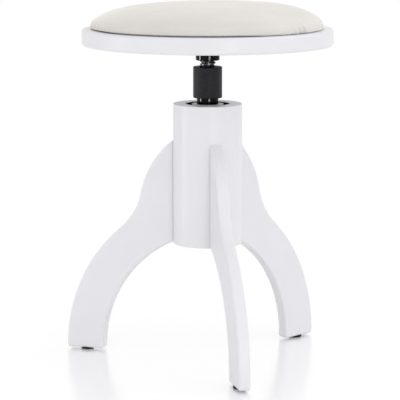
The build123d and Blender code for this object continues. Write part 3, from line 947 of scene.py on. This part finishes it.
def make_floor():
    """A white gloss floor that keeps the stool's shadow and fades into the white surroundings."""
    bm = bmesh.new()
    bmesh.ops.create_grid(
        bm, x_segments=FLOOR_SEGMENTS, y_segments=FLOOR_SEGMENTS, size=FLOOR_HALF)
    material = bpy.data.materials.new("white_studio_floor")
    material.use_nodes = True
    tree = material.node_tree
    tree.nodes.clear()
    out = add(tree, "ShaderNodeOutputMaterial")
    matt = add(tree, "ShaderNodeBsdfDiffuse", {"Color": linear("#F2F2F2")})
    dim = add(tree, "ShaderNodeBsdfDiffuse", {"Color": linear("#E0E0E0")})
    shine = add(tree, "ShaderNodeBsdfGlossy", {
        "Color": linear("#FFFFFF"), "Roughness": FLOOR_ROUGHNESS,
    })
    glow = add(tree, "ShaderNodeEmission", {"Color": linear("#FFFFFF"), "Strength": FLOOR_GLOW})
    lit = add(tree, "ShaderNodeAddShader", {0: dim.outputs[0], 1: glow.outputs[0]})
    slant = add(tree, "ShaderNodeLayerWeight", {"Blend": 0.5})
    gloss = add(tree, "ShaderNodeMath", {
        0: slant.outputs["Facing"], 1: FLOOR_GLOSS,
    }, operation="MULTIPLY")
    near = add(tree, "ShaderNodeMixShader", {
        0: gloss.outputs[0], 1: lit.outputs[0], 2: shine.outputs[0],
    })
    white = add(tree, "ShaderNodeEmission", {"Color": linear("#FFFFFF"), "Strength": 1.0})
    place = add(tree, "ShaderNodeTexCoord")
    radius = add(tree, "ShaderNodeVectorMath", {0: place.outputs["Object"]}, operation="LENGTH")
    fade = add(tree, "ShaderNodeMapRange", {
        "Value": radius.outputs["Value"], "From Min": FADE_FROM, "From Max": FADE_TO,
    }, interpolation_type="SMOOTHSTEP")
    shown = add(tree, "ShaderNodeMixShader", {
        0: fade.outputs["Result"], 1: near.outputs[0], 2: white.outputs[0],
    })
    pick = add(tree, "ShaderNodeMixShader", {
        0: seen(tree), 1: matt.outputs[0], 2: shown.outputs[0],
    })
    tree.links.new(pick.outputs[0], out.inputs["Surface"])
    floor = piece_from("floor", bm, material)


def make_world():
    """White studio surroundings: white where seen or mirrored, and a fill weaker on the left."""
    world = bpy.data.worlds.new("studio")
    bpy.context.scene.world = world
    world.use_nodes = True
    tree = world.node_tree
    tree.nodes.clear()
    out = add(tree, "ShaderNodeOutputWorld")
    toward = add(tree, "ShaderNodeTexCoord").outputs["Generated"]
    right = (math.cos(CAMERA_AZ), math.sin(CAMERA_AZ), 0.0)
    side = add(tree, "ShaderNodeVectorMath", {0: toward, 1: right}, operation="DOT_PRODUCT")
    level = add(tree, "ShaderNodeMapRange", {
        "Value": side.outputs["Value"], "From Min": -1.0, "From Max": 1.0,
        "To Min": FILL_LEFT, "To Max": FILL_RIGHT,
    })
    fill = add(tree, "ShaderNodeBackground", {
        "Color": linear("#FFFFFF"), "Strength": level.outputs["Result"],
    })
    white = add(tree, "ShaderNodeBackground", {"Color": linear("#FFFFFF"), "Strength": 1.0})
    pick = add(tree, "ShaderNodeMixShader", {
        0: seen(tree), 1: fill.outputs[0], 2: white.outputs[0],
    })
    tree.links.new(pick.outputs[0], out.inputs["Surface"])


def make_light(name, azimuth, distance, height, width, tall, power, aim_z, only=()):
    """A soft box turned to the stool. It lights the whole scene, or only the pieces given."""
    lamp = bpy.data.lights.new(name, "AREA")
    lamp.shape = "RECTANGLE"
    lamp.size = width
    lamp.size_y = tall
    lamp.energy = power
    light = bpy.data.objects.new(name, lamp)
    bpy.context.scene.collection.objects.link(light)
    light.visible_camera = False
    light.location = about(CAMERA_AZ + math.radians(azimuth), distance, height)
    aim = Vector((0, 0, aim_z)) - light.location
    light.rotation_euler = aim.to_track_quat("-Z", "Y").to_euler()
    if only:
        lit = bpy.data.collections.new(name + "_lit")
        for piece in only:
            lit.objects.link(piece)
        light.light_linking.receiver_collection = lit


def make_camera():
    """A camera at the photograph's viewing angle."""
    data = bpy.data.cameras.new("photo_view")
    data.sensor_width = SENSOR_MM
    data.lens = FOCAL_PX / FRAME_PX * SENSOR_MM
    camera = bpy.data.objects.new("photo_view", data)
    bpy.context.scene.collection.objects.link(camera)
    camera.location = about(CAMERA_AZ, CAMERA_D, CAMERA_H)
    aim = Vector((-AIM_LEFT * math.cos(CAMERA_AZ), -AIM_LEFT * math.sin(CAMERA_AZ), AIM_Z))
    camera.rotation_mode = "QUATERNION"
    camera.rotation_quaternion = (aim - camera.location).to_track_quat("-Z", "Y")
    bpy.context.scene.camera = camera


make_floor()
make_world()
make_camera()
for name, setting in SOFT_BOXES.items():
    make_light(name, *setting)
gloss_black = (nodes["guide_tube"], nodes["seat_flange"], spindle)
for name, setting in LINE_STRIPS.items():
    make_light(name, *setting, only=gloss_black)

bpy.context.scene.view_settings.view_transform = "Standard"
